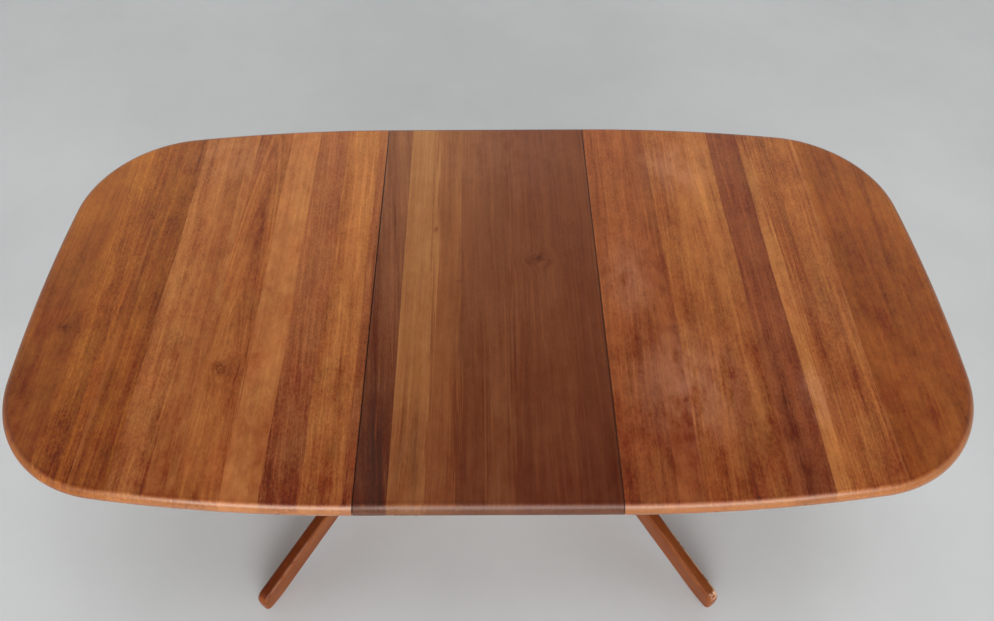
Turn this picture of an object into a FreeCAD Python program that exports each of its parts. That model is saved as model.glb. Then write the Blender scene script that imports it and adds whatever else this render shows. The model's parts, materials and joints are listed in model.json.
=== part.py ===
"""Extension dining table: two sliding halves, a loose centre leaf and a double pedestal.

Millimetres. The origin is on the floor under the middle of the table. X runs along the
table, Y runs from the front to the back and Z points up. The leaf is in its place.
"""
import FreeCAD, Part
import math
import os

# Top: two halves and the leaf between them
table_height = 725.0
top_width = 1060.0
half_length = 730.0
leaf_length = 490.0
top_thickness = 26.0
side_radius = 3400.0
end_radius = 3800.0
corner_radius = 274.0
top_edge_round = 17.5
under_edge_round = 8.0
rim_flat = 0.5
seam_gap = 0.8
leaf_shift = 0.4

# Slides: fixed rails with tongues, and runners that hang on them
slide_gap = 0.3
overpull = 40.0
rail_spacing = 400.0
rail_width = 28.0
rail_top_gap = 1.0
rail_let_in = 10.0
rail_overhang = 45.0
runner_width = 28.0
runner_height = 45.0
runner_end_inset = 95.0
runner_tip = 20.0
runner_slope_length = 70.0
runner_slope_height = 24.0
key_height = 8.0
key_projection = 7.0
key_depth = 7.0
peg_diameter = 10.0
peg_projection = 14.0
peg_depth = 22.0

# Battens under the halves and under the leaf
half_batten_seam_inset = 140.0
half_batten_end_inset = 150.0
half_batten_side_inset = 140.0
leaf_batten_inset = 45.0
leaf_batten_gap = 0.8
batten_width = 44.0
batten_thickness = 22.0
batten_slope_length = 40.0
batten_tip_thickness = 9.0

# Base: bearers, columns, stretcher and feet
column_spacing = 510.0
bearer_length = 660.0
bearer_width = 56.0
bearer_height = 62.0
bearer_taper_length = 170.0
bearer_tip_height = 30.0
column_foot_diameter = 94.0
column_top_diameter = 80.0
column_below_foot = 14.0
column_chamfer = 5.0
spigot_diameter = 40.0
spigot_length = 44.0
stretcher_height = 70.0
stretcher_thickness = 30.0
stretcher_top = 262.0
stretcher_arch = 16.0
stretcher_edge_round = 5.0
stretcher_flat_depth = 3.0
foot_tip_spread_x = 1120.0
foot_tip_spread_y = 904.0
foot_width = 30.0
foot_height = 68.0
foot_rise = 11.0
foot_edge_round = 8.0
foot_flat_depth = 9.0
toe_flat = 50.0
toe_top_round = 26.0
toe_low_round = 14.0
sole_blend = 120.0

# Loose tenons, glides and screws
tenon_thickness = 10.0
tenon_margin = 10.0
tenon_reach = 20.0
glue_gap = 0.1
glide_diameter = 16.0
glide_stand = 3.0
glide_let_in = 2.0
glide_chamfer = 1.0
screw_head_diameter = 9.0
screw_head_height = 2.8
screw_diameter = 4.6
screw_point = 4.0
screw_bite = 14.0
screw_gap = 0.15
runner_counterbore = 20.0
rail_screw_bite = 32.0
runner_screw_count = 3
batten_screw_count = 3
screw_end_margin = 60.0

# Heights and lines that the pieces share
underside = table_height - top_thickness
runner_bottom = underside - runner_height
bearer_top = runner_bottom - slide_gap
bearer_bottom = bearer_top - bearer_height
rail_top = underside - rail_top_gap
rail_bottom = bearer_top - rail_let_in
key_middle = underside - runner_height / 2
seam_x = leaf_length / 2 + seam_gap
column_x = column_spacing / 2
rail_y = rail_spacing / 2
peg_x = column_x + bearer_width / 2 + overpull + slide_gap + peg_diameter / 2
rail_end = column_x + bearer_width / 2 + rail_overhang
foot_seat = column_foot_diameter / 2 - foot_flat_depth
stretcher_seat = column_top_diameter / 2 - stretcher_flat_depth
foot_thick = foot_height / math.cos(math.radians(foot_rise))
left = -1
right = 1
front = -1
back = 1
touching = 0.01
full_turn = 360
half_turn = 180

made = {}


def point(x, y, z=0.0):
    return FreeCAD.Vector(x, y, z)


def block(x, y, z):
    """A box between two x, two y and two z values, each pair in any order."""
    size = [max(pair) - min(pair) for pair in (x, y, z)]
    return Part.makeBox(*size, point(min(x), min(y), min(z)))


def prism(corners, direction):
    """A closed polygon swept straight along a direction."""
    return Part.Face(Part.makePolygon(corners + corners[:1])).extrude(direction)


def peg(diameter, x, y, z_low, z_high):
    return Part.makeCylinder(diameter / 2, z_high - z_low, point(x, y, z_low))


def cut_all(shape, tools):
    return shape.cut(tools).removeSplitter() if tools else shape


def keep(name, *solids):
    """Store a piece, or a group of like pieces, under its node's name."""
    made[name] = solids[0] if len(solids) == 1 else Part.makeCompound(list(solids))


def arc_between(centre, radius, start, end):
    """The short arc about a centre from one point to another."""
    middle = (start - centre) + (end - centre)
    middle.normalize()
    return Part.Arc(start, centre + middle * radius, end)


# Screws

def countersunk(length, grow=0.0, counterbore=0.0):
    """A screw along +Z with its head's face at the origin, or the hole for it."""
    head = screw_head_diameter / 2 + grow
    shank = screw_diameter / 2 + grow
    corners = [
        point(0, 0, -counterbore),
        point(head, 0, -counterbore),
        point(head, 0, 0),
        point(shank, 0, screw_head_height),
        point(shank, 0, length - screw_point),
        point(0, 0, length + grow),
    ]
    if not counterbore:
        del corners[1]
    outline = Part.Face(Part.makePolygon(corners + corners[:1]))
    return outline.revolve(point(0, 0), point(0, 0, 1), full_turn)


def screws_at(places, length, counterbore, down=False):
    """Screws and the tools that cut their holes, with heads at the given places."""
    screws = []
    holes = []
    for place in places:
        screw = countersunk(length)
        hole = countersunk(length, screw_gap, counterbore)
        for shape in (screw, hole):
            if down:
                shape.rotate(point(0, 0), point(1, 0), half_turn)
            shape.translate(place)
        screws.append(screw)
        holes.append(hole)
    return screws, holes


def spread(start, end, count):
    """Evenly spaced positions, screw_end_margin in from both ends."""
    low = min(start, end) + screw_end_margin
    high = max(start, end) - screw_end_margin
    return [low + (high - low) * step / (count - 1) for step in range(count)]


# Top panels

def half_outline():
    """The right half in plan: a seam, two bowed sides, two corners and a bowed end."""
    half_width = top_width / 2
    side_centre = point(seam_x, half_width - side_radius)
    end_centre = point(seam_x + half_length - end_radius, 0)
    side_reach = side_radius - corner_radius
    end_reach = end_radius - corner_radius
    between = end_centre - side_centre
    along = (side_reach ** 2 - end_reach ** 2 + between.Length ** 2) / (2 * between.Length)
    across = math.sqrt(side_reach ** 2 - along ** 2)
    axis = between / between.Length
    normal = point(-axis.y, axis.x)
    choices = [side_centre + axis * along + normal * across * sign for sign in (-1, 1)]
    corner_centre = max(choices, key=lambda place: place.x)

    def tangent_point(centre, radius):
        way = corner_centre - centre
        way.normalize()
        return centre + way * radius

    seam_end = point(seam_x, half_width)
    side_end = tangent_point(side_centre, side_radius)
    end_end = tangent_point(end_centre, end_radius)

    def mirrored(place):
        return point(place.x, -place.y)

    curves = [
        arc_between(side_centre, side_radius, seam_end, side_end),
        arc_between(corner_centre, corner_radius, side_end, end_end),
        arc_between(end_centre, end_radius, end_end, mirrored(end_end)),
        arc_between(mirrored(corner_centre), corner_radius, mirrored(end_end), mirrored(side_end)),
        arc_between(mirrored(side_centre), side_radius, mirrored(side_end), mirrored(seam_end)),
        Part.LineSegment(mirrored(seam_end), seam_end),
    ]
    return Part.Wire([curve.toShape() for curve in curves])


def round_rim(panel, is_rim):
    """Round a panel's rim: a large radius above and a small one below."""
    top_round = min(top_edge_round, top_thickness - under_edge_round - rim_flat)
    for height, radius in ((table_height, top_round), (underside, under_edge_round)):
        rim = [edge for edge in panel.Edges if is_rim(edge.CenterOfMass, height)]
        panel = panel.makeFillet(radius, rim)
    return panel


def at_height(place, height):
    return abs(place.z - height) < touching


def half_panel(side):
    face = Part.Face(half_outline())
    face.translate(point(0, 0, underside))
    panel = face.extrude(point(0, 0, top_thickness))

    def is_rim(place, height):
        return at_height(place, height) and place.x > seam_x + touching

    panel = round_rim(panel, is_rim)
    if side == left:
        panel = panel.mirror(point(0, 0), point(1, 0))
    return panel


def leaf_panel():
    half = leaf_length / 2
    panel = block((-half, half), (-top_width / 2, top_width / 2), (underside, table_height))

    def is_rim(place, height):
        return at_height(place, height) and abs(place.x) < touching

    return round_rim(panel, is_rim)


# Runners, stop pegs and battens

def runner_lines(side, end):
    """The y of a runner's face at the rail and of its far face: left runs inside the rail."""
    outward = end * side
    near = end * rail_y + outward * (rail_width / 2 + slide_gap)
    return near, near + outward * runner_width


def runner(side, end):
    """A grooved runner, its screws and its stop peg."""
    near, far = runner_lines(side, end)
    outer_x = side * (seam_x + half_length - runner_end_inset)
    inner_x = -side * (peg_x + runner_tip)
    bar = block((inner_x, outer_x), (near, far), (runner_bottom, underside))
    middle_y = (near + far) / 2
    groove_half = key_height / 2 + slide_gap
    groove_floor = near + end * side * key_projection
    groove_heights = (key_middle - groove_half, key_middle + groove_half)
    groove = block((inner_x, outer_x), (near, groove_floor), groove_heights)
    relief = block((inner_x, side * seam_x), (near, far), (underside - slide_gap, underside))
    slope = prism(
        [
            point(outer_x, near, runner_bottom),
            point(outer_x, near, runner_bottom + runner_slope_height),
            point(outer_x - side * runner_slope_length, near, runner_bottom),
        ],
        point(0, far - near),
    )
    stop_top = runner_bottom + peg_depth
    stop = peg(peg_diameter, -side * peg_x, middle_y, runner_bottom - peg_projection, stop_top)
    hole_diameter = peg_diameter + 2 * glue_gap
    stop_hole = peg(hole_diameter, -side * peg_x, middle_y, runner_bottom, stop_top + glue_gap)
    slope_end = outer_x - side * runner_slope_length
    places = [
        point(x, middle_y, runner_bottom + runner_counterbore)
        for x in spread(side * seam_x, slope_end, runner_screw_count)
    ]
    length = runner_height - runner_counterbore + screw_bite
    screws, holes = screws_at(places, length, runner_counterbore)
    bar = cut_all(bar, [groove, relief, slope, stop_hole] + holes)
    return bar, screws, holes, stop


def batten(start_x, length, middle_y):
    """A batten along X with sloped ends, its screws and their holes."""
    low = underside - batten_thickness
    end_x = start_x + length
    near = middle_y - batten_width / 2
    profile = [
        point(start_x, near, underside),
        point(end_x, near, underside),
        point(end_x, near, underside - batten_tip_thickness),
        point(end_x - batten_slope_length, near, low),
        point(start_x + batten_slope_length, near, low),
        point(start_x, near, underside - batten_tip_thickness),
    ]
    bar = prism(profile, point(0, batten_width))
    places = [point(x, middle_y, low) for x in spread(start_x, end_x, batten_screw_count)]
    screws, holes = screws_at(places, batten_thickness + screw_bite, screw_gap)
    return cut_all(bar, holes), screws, holes


def build_half(side, label):
    panel = half_panel(side)
    stops = []
    runner_screws = []
    batten_screws = []
    all_holes = []
    for end, place in ((front, "front"), (back, "back")):
        bar, screws, holes, stop = runner(side, end)
        keep(f"{label}_{place}_runner", bar)
        stops.append(stop)
        runner_screws += screws
        all_holes += holes
        length = half_length - half_batten_seam_inset - half_batten_end_inset
        first = seam_x + half_batten_seam_inset
        start = first if side == right else -first - length
        strip, screws, holes = batten(start, length, end * (top_width / 2 - half_batten_side_inset))
        keep(f"{label}_{place}_batten", strip)
        batten_screws += screws
        all_holes += holes
    keep(f"{label}_top_half", cut_all(panel, all_holes))
    keep(f"{label}_stop_pegs", *stops)
    keep(f"{label}_runner_screws", *runner_screws)
    keep(f"{label}_batten_screws", *batten_screws)


def build_leaf():
    panel = leaf_panel()
    inner_face = rail_y - rail_width / 2 - slide_gap - runner_width
    middle_y = inner_face - leaf_batten_gap - batten_width / 2
    all_screws = []
    all_holes = []
    for end, place in ((front, "front"), (back, "back")):
        length = leaf_length - 2 * leaf_batten_inset
        strip, screws, holes = batten(-length / 2, length, end * middle_y)
        keep(f"leaf_{place}_batten", strip)
        all_screws += screws
        all_holes += holes
    keep("centre_leaf", cut_all(panel, all_holes))
    keep("leaf_batten_screws", *all_screws)
    for name in ("centre_leaf", "leaf_front_batten", "leaf_back_batten", "leaf_batten_screws"):
        made[name].translate(point(leaf_shift, 0))


# Rails, tongues and bearers

def rail_and_keys(end):
    """A fixed rail with a tongue glued into each side."""
    middle = end * rail_y
    sides = (middle - rail_width / 2, middle + rail_width / 2)
    bar = block((-rail_end, rail_end), sides, (rail_bottom, rail_top))
    keys = []
    for way in (-1, 1):
        face = middle + way * rail_width / 2
        span = (face - way * key_depth, face + way * (key_projection - slide_gap))
        heights = (key_middle - key_height / 2, key_middle + key_height / 2)
        keys.append(block((-rail_end, rail_end), span, heights))
    return bar.cut(keys), keys


def bearer(side):
    """A cross bearer with tapered ends, housings for the rails and a socket for its column."""
    middle = side * column_x
    face_x = middle - bearer_width / 2
    half = bearer_length / 2
    taper = half - bearer_taper_length
    profile = [
        point(face_x, -half, bearer_top),
        point(face_x, half, bearer_top),
        point(face_x, half, bearer_top - bearer_tip_height),
        point(face_x, taper, bearer_bottom),
        point(face_x, -taper, bearer_bottom),
        point(face_x, -half, bearer_top - bearer_tip_height),
    ]
    bar = prism(profile, point(bearer_width, 0))
    tools = []
    for end in (front, back):
        span = (end * rail_y - rail_width / 2, end * rail_y + rail_width / 2)
        tools.append(block((face_x, face_x + bearer_width), span, (rail_bottom, bearer_top)))
    socket_top = bearer_bottom + spigot_length + glue_gap
    tools.append(peg(spigot_diameter + 2 * glue_gap, middle, 0, bearer_bottom, socket_top))
    return bar.cut(tools)


def build_frame():
    crossings = [(side, end) for side in (left, right) for end in (front, back)]
    places = [point(side * column_x, end * rail_y, rail_top) for side, end in crossings]
    length = rail_top - rail_bottom + rail_screw_bite
    screws, holes = screws_at(places, length, screw_gap, down=True)
    for end, place in ((front, "front"), (back, "back")):
        bar, keys = rail_and_keys(end)
        keep(f"{place}_rail", cut_all(bar, holes))
        keep(f"{place}_rail_keys", *keys)
    for side, label in ((left, "left"), (right, "right")):
        keep(f"{label}_bearer", cut_all(bearer(side), holes))
    keep("rail_screws", *screws)


# Feet, columns and stretcher

def foot_line():
    """Plan length from a column's axis to a toe, and the angle from the X axis."""
    reach_x = foot_tip_spread_x / 2 - column_x
    reach_y = foot_tip_spread_y / 2
    return math.hypot(reach_x, reach_y), math.degrees(math.atan2(reach_y, reach_x))


def sole_height(reach):
    """Height of a foot's sloped underside at a distance from the column's axis."""
    tip, _ = foot_line()
    return glide_stand + (tip - toe_flat - reach) * math.tan(math.radians(foot_rise))


def rounded_profile(corners, radii):
    """A wire in the XZ plane through corners, each with its own tangent arc; 0 stays sharp."""
    starts = []
    ends = []
    arcs = []
    for index, (corner, radius) in enumerate(zip(corners, radii)):
        before = corners[index - 1] - corner
        after = corners[(index + 1) % len(corners)] - corner
        before.normalize()
        after.normalize()
        half_angle = before.getAngle(after) / 2
        trim = radius / math.tan(half_angle)
        inward = before + after
        inward.normalize()
        starts.append(corner + before * trim)
        ends.append(corner + after * trim)
        bulge = corner + inward * (radius / math.sin(half_angle) - radius)
        arcs.append(Part.Arc(starts[-1], bulge, ends[-1]).toShape() if radius else None)
    edges = []
    for index, arc in enumerate(arcs):
        if arc:
            edges.append(arc)
        edges.append(Part.LineSegment(ends[index], starts[(index + 1) % len(corners)]).toShape())
    return Part.Wire(Part.sortEdges(edges)[0])


def turned_to(shape, side, end):
    """Place a shape made along +X from a column's axis so that it runs out to a toe."""
    _, angle = foot_line()
    placed = shape.copy()
    if side == left:
        angle = half_turn - angle
    placed.rotate(point(0, 0), point(0, 0, 1), angle * end)
    placed.translate(point(side * column_x, 0))
    return placed


def foot_bar():
    """A straight foot along +X: a sloped bar with a flat sole, a round toe and eased edges."""
    tip, _ = foot_line()
    sole_end = tip - toe_flat
    corners = [
        point(foot_seat, 0, sole_height(foot_seat)),
        point(sole_end, 0, glide_stand),
        point(tip, 0, glide_stand),
        point(tip, 0, sole_height(tip) + foot_thick),
        point(foot_seat, 0, sole_height(foot_seat) + foot_thick),
    ]
    radii = [0, sole_blend, toe_low_round, toe_top_round, 0]
    outline = Part.Face(rounded_profile(corners, radii))
    outline.translate(point(0, -foot_width / 2))
    bar = outline.extrude(point(0, foot_width))
    long_edges = []
    for edge in bar.Edges:
        on_side = abs(abs(edge.CenterOfMass.y) - foot_width / 2) < touching
        if on_side and edge.CenterOfMass.x > foot_seat + touching:
            long_edges.append(edge)
    bar = bar.makeFillet(foot_edge_round, long_edges)
    recess_top = glide_stand + glide_let_in
    recess = peg(glide_diameter + 2 * glue_gap, glide_place(), 0, 0, recess_top)
    return bar.cut(recess)


def glide_place():
    tip, _ = foot_line()
    return tip - toe_low_round - glide_diameter / 2 - glide_chamfer


def glide():
    disc = peg(glide_diameter, glide_place(), 0, 0, glide_stand + glide_let_in)
    lower = [edge for edge in disc.Edges if at_height(edge.CenterOfMass, 0)]
    return disc.makeChamfer(glide_chamfer, lower)


def foot_tenon(grow=0.0):
    """A loose tenon across the joint of a foot and its column, or its mortise."""
    low = sole_height(foot_seat - tenon_reach) + tenon_margin
    high = sole_height(foot_seat + tenon_reach) + foot_thick - tenon_margin
    half = tenon_thickness / 2 + grow
    span = (foot_seat - tenon_reach - grow, foot_seat + tenon_reach + grow)
    return block(span, (-half, half), (low - grow, high + grow))


def stretcher_tenon(side, grow=0.0):
    seat = side * (column_x - stretcher_seat)
    half = tenon_thickness / 2 + grow
    low = stretcher_top - stretcher_height + tenon_margin - grow
    high = stretcher_top - tenon_margin + grow
    span = (seat - tenon_reach - grow, seat + tenon_reach + grow)
    return block(span, (-half, half), (low, high))


def column(side):
    """A tapered turned column with a spigot on top and flats where the feet and stretcher seat."""
    low = sole_height(foot_seat) - column_below_foot
    foot_radius = column_foot_diameter / 2
    top_radius = column_top_diameter / 2
    shaft_low = point(foot_radius, 0, low + column_chamfer)
    shaft_high = point(top_radius, 0, bearer_bottom)
    spigot_top = bearer_bottom + spigot_length
    axis_low = point(0, 0, low)
    chamfer_low = point(foot_radius - column_chamfer, 0, low)
    spigot_low = point(spigot_diameter / 2, 0, bearer_bottom)
    spigot_high = point(spigot_diameter / 2, 0, spigot_top)
    axis_high = point(0, 0, spigot_top)
    edges = [
        Part.LineSegment(axis_low, chamfer_low).toShape(),
        Part.LineSegment(chamfer_low, shaft_low).toShape(),
        Part.LineSegment(shaft_low, shaft_high).toShape(),
        Part.LineSegment(shaft_high, spigot_low).toShape(),
        Part.LineSegment(spigot_low, spigot_high).toShape(),
        Part.LineSegment(spigot_high, axis_high).toShape(),
        Part.LineSegment(axis_high, axis_low).toShape(),
    ]
    turned = Part.Face(Part.Wire(edges)).revolve(point(0, 0), point(0, 0, 1), full_turn)
    turned.translate(point(side * column_x, 0))
    foot_flat = block(
        (foot_seat, column_foot_diameter),
        (-column_foot_diameter / 2, column_foot_diameter / 2),
        (0, sole_height(foot_seat) + foot_thick),
    )
    seat = side * (column_x - stretcher_seat)
    stretcher_flat = block(
        (seat, seat - side * column_foot_diameter),
        (-column_foot_diameter / 2, column_foot_diameter / 2),
        (stretcher_top - stretcher_height, stretcher_top),
    )
    tools = [stretcher_flat, stretcher_tenon(side, glue_gap)]
    for end in (front, back):
        tools.append(turned_to(foot_flat, side, end))
        tools.append(turned_to(foot_tenon(glue_gap), side, end))
    return turned.cut(tools)


def stretcher():
    """A low rail between the columns with an arched underside and eased edges."""
    end_x = column_x - stretcher_seat
    half = stretcher_thickness / 2
    low = stretcher_top - stretcher_height
    low_left = point(-end_x, -half, low)
    low_right = point(end_x, -half, low)
    high_right = point(end_x, -half, stretcher_top)
    high_left = point(-end_x, -half, stretcher_top)
    edges = [
        Part.Arc(low_left, point(0, -half, low + stretcher_arch), low_right).toShape(),
        Part.LineSegment(low_right, high_right).toShape(),
        Part.LineSegment(high_right, high_left).toShape(),
        Part.LineSegment(high_left, low_left).toShape(),
    ]
    bar = Part.Face(Part.Wire(edges)).extrude(point(0, stretcher_thickness))
    long_edges = [
        edge
        for edge in bar.Edges
        if abs(edge.CenterOfMass.x) < touching and abs(abs(edge.CenterOfMass.y) - half) < touching
    ]
    bar = bar.makeFillet(stretcher_edge_round, long_edges)
    return bar.cut([stretcher_tenon(side, glue_gap) for side in (left, right)])


def build_pedestal():
    bar = foot_bar().cut(foot_tenon(glue_gap))
    tenons = []
    glides = []
    for side, label in ((left, "left"), (right, "right")):
        keep(f"{label}_column", column(side))
        for end, place in ((front, "front"), (back, "back")):
            keep(f"{place}_{label}_foot", turned_to(bar, side, end))
            tenons.append(turned_to(foot_tenon(), side, end))
            glides.append(turned_to(glide(), side, end))
    keep("foot_tenons", *tenons)
    keep("floor_glides", *glides)
    keep("stretcher", stretcher())
    keep("stretcher_tenons", *[stretcher_tenon(side) for side in (left, right)])


build_half(left, "left")
build_half(right, "right")
build_leaf()
build_frame()
build_pedestal()

os.makedirs("parts", exist_ok=True)
for name, shape in made.items():
    if not shape.isValid():
        raise RuntimeError(f"{name} is not a valid solid")
    shape.exportStep(f"parts/{name}.step")
    print(name, len(shape.Solids), "solids", round(shape.Volume / 1000), "cm3")
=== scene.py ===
# %% [markdown]
# # An oiled teak extension table
# The table stands with its leaf in place: two halves that slide apart, a loose leaf between
# them and a double pedestal below. The construction comes in as a fixed frame, and this lesson
# gives it its surfaces, its light and the camera. Nothing here moves or resizes the frame.

# %% Load the frame
import json
import math

import bmesh
import bpy
from mathutils import Matrix, Vector

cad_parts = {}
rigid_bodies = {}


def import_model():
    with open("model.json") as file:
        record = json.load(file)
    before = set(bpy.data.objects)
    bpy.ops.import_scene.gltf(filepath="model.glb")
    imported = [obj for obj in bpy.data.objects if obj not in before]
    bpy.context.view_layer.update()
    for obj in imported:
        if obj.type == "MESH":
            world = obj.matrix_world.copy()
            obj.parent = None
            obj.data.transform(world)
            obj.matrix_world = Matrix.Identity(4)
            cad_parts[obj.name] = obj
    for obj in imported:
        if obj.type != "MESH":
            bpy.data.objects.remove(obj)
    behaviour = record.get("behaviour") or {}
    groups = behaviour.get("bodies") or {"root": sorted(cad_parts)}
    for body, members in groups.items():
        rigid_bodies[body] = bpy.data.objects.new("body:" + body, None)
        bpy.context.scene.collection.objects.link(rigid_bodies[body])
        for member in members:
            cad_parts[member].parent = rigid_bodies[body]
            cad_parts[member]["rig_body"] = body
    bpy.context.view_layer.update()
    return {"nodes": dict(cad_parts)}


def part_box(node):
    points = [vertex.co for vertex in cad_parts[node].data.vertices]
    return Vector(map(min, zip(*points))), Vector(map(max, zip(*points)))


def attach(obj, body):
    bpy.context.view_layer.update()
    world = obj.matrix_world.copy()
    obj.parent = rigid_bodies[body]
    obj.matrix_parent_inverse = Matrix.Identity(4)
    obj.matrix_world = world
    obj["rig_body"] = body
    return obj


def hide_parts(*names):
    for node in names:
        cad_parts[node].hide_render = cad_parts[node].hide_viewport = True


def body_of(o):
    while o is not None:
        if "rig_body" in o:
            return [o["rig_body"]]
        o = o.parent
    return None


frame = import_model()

# %% [markdown]
# ## Small helpers for shader nodes
# A material is a graph. Writing every node and link by hand hides the idea, so a few helpers
# make a node, feed a socket from another node or from a plain value, and do sums.


# %% Node helpers
def add_node(tree, kind, **settings):
    made = tree.nodes.new("ShaderNode" + kind)
    for name, value in settings.items():
        setattr(made, name, value)
    return made


def feed(tree, socket, source):
    """Link a socket to an output, or set it to a plain value."""
    if isinstance(source, bpy.types.NodeSocket):
        tree.links.new(source, socket)
    else:
        socket.default_value = source


def calc(tree, operation, *values, clamp=False):
    made = add_node(tree, "Math", operation=operation, use_clamp=clamp)
    for socket, value in zip(made.inputs, values):
        feed(tree, socket, value)
    return made.outputs[0]


def vector_calc(tree, operation, *values):
    made = add_node(tree, "VectorMath", operation=operation)
    for socket, value in zip(made.inputs, values):
        feed(tree, socket, value)
    return made.outputs["Value" if operation == "LENGTH" else "Vector"]


def total(tree, *weighted):
    """Add up fields, each given as a pair of a field and its weight."""
    result = 0.0
    for field, weight in weighted:
        result = calc(tree, "MULTIPLY_ADD", field, weight, result)
    return result


def centred(tree, field):
    """Noise runs from 0 to 1 about a half, and this puts its middle at zero."""
    return calc(tree, "SUBTRACT", field, 0.5)


def split_axes(tree, vector):
    made = add_node(tree, "SeparateXYZ")
    feed(tree, made.inputs[0], vector)
    return made.outputs


def join_axes(tree, *values):
    made = add_node(tree, "CombineXYZ")
    for socket, value in zip(made.inputs, values):
        feed(tree, socket, value)
    return made.outputs[0]


def noise(tree, vector, scales, detail=2.0, roughness=0.5):
    """Noise whose grains per metre differ along X, Y and Z."""
    made = add_node(tree, "TexNoise")
    feed(tree, made.inputs["Vector"], vector_calc(tree, "MULTIPLY", vector, scales))
    made.inputs["Scale"].default_value = 1.0
    made.inputs["Detail"].default_value = detail
    made.inputs["Roughness"].default_value = roughness
    return made.outputs["Fac"]


def line_noise(tree, place, detail=2.0, roughness=0.5):
    """Noise along one line, for growth rings."""
    made = add_node(tree, "TexNoise", noise_dimensions="1D")
    feed(tree, made.inputs["W"], place)
    made.inputs["Scale"].default_value = 1.0
    made.inputs["Detail"].default_value = detail
    made.inputs["Roughness"].default_value = roughness
    return made.outputs["Fac"]


def ease(tree, value, low, high, to_low=0.0, to_high=1.0):
    """A soft step from one level to another while the value goes from low to high."""
    made = add_node(tree, "MapRange", interpolation_type="SMOOTHSTEP")
    for socket, plain in zip(made.inputs, (value, low, high, to_low, to_high)):
        feed(tree, socket, plain)
    return made.outputs[0]


def blend_colour(tree, factor, first, second, mode="MIX"):
    made = add_node(tree, "Mix", data_type="RGBA", blend_type=mode)
    feed(tree, made.inputs["Factor"], factor)
    feed(tree, made.inputs[6], first)
    feed(tree, made.inputs[7], second)
    return made.outputs[2]


def new_group(name, inputs, outputs):
    """A shader node group with its named sockets, and its two end nodes."""
    group = bpy.data.node_groups.new(name, "ShaderNodeTree")
    for label, kind in inputs:
        group.interface.new_socket(label, in_out="INPUT", socket_type="NodeSocket" + kind)
    for label, kind in outputs:
        group.interface.new_socket(label, in_out="OUTPUT", socket_type="NodeSocket" + kind)
    start = group.nodes.new("NodeGroupInput")
    end = group.nodes.new("NodeGroupOutput")
    return group, start.outputs, end.inputs


def place_group(tree, group, **sources):
    made = tree.nodes.new("ShaderNodeGroup")
    made.node_tree = group
    for label, source in sources.items():
        feed(tree, made.inputs[label], source)
    return made.outputs


def new_material(name):
    """A material with its tree, its Principled shader and its object coordinates."""
    material = bpy.data.materials.new(name)
    material.use_nodes = True
    tree = material.node_tree
    shader = tree.nodes["Principled BSDF"]
    place = add_node(tree, "TexCoord").outputs["Object"]
    return material, tree, shader, place


def roughen(tree, shader, height, distance):
    """Raise a bump of a real height in metres on a shader."""
    bump = add_node(tree, "Bump")
    bump.inputs["Distance"].default_value = distance
    feed(tree, bump.inputs["Height"], height)
    feed(tree, shader.inputs["Normal"], bump.outputs[0])


def srgb(red, green, blue):
    """A colour given on a 0 to 255 scale, as the shader's linear values."""
    def linear(level):
        level = level / 255
        return level / 12.92 if level <= 0.04045 else ((level + 0.055) / 1.055) ** 2.4
    return linear(red), linear(green), linear(blue), 1.0


# %% [markdown]
# ## How wood is drawn
# A board is a slice through a tree. Its lines are growth rings, cut at a slant because the
# trunk tapers: far from the heart they run straight, and over the heart they close in arches.
# So the group measures the distance to a heart line, lets it drift along the board, and reads
# a line noise there. Most of teak's figure is softer than its rings: broad bands, a few crisp
# pale or dark lines, short fibres and open pores. Each is noise stretched along the grain,
# which runs along Y in the group's own coordinates. Blotches and a slow change of warmth lie
# over them, and Bend shifts the lines sideways, so that they flow round a knot.

# %% Wood figure group
HEART_DEPTH = 0.022
TRUNK_TAPER = 0.060
RINGS_PER_METRE = 130.0
SEED_SHIFT = 37.0
SWAY_SCALE = (5.0, 1.6, 5.0)
WANDER_SCALE = (30.0, 9.0, 30.0)
BAND_SCALE = (34.0, 1.5, 34.0)
LINE_SCALE = (210.0, 3.4, 210.0)
FIBRE_SCALE = (700.0, 55.0, 700.0)
VEIN_SCALE = (120.0, 2.6, 120.0)
PORE_SCALE = (1500.0, 46.0, 1500.0)
SPECKLE_SCALE = (260.0, 130.0, 260.0)
CLOUD_SCALE = (11.0, 7.0, 11.0)
BLOTCH_SCALE = (52.0, 27.0, 52.0)
WARMTH_SCALE = (17.0, 8.0, 17.0)
FIGURE_FIELDS = ("Grain", "Rings", "Veins", "Speckle", "Mottle", "Warmth", "Pores", "Height")


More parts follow.
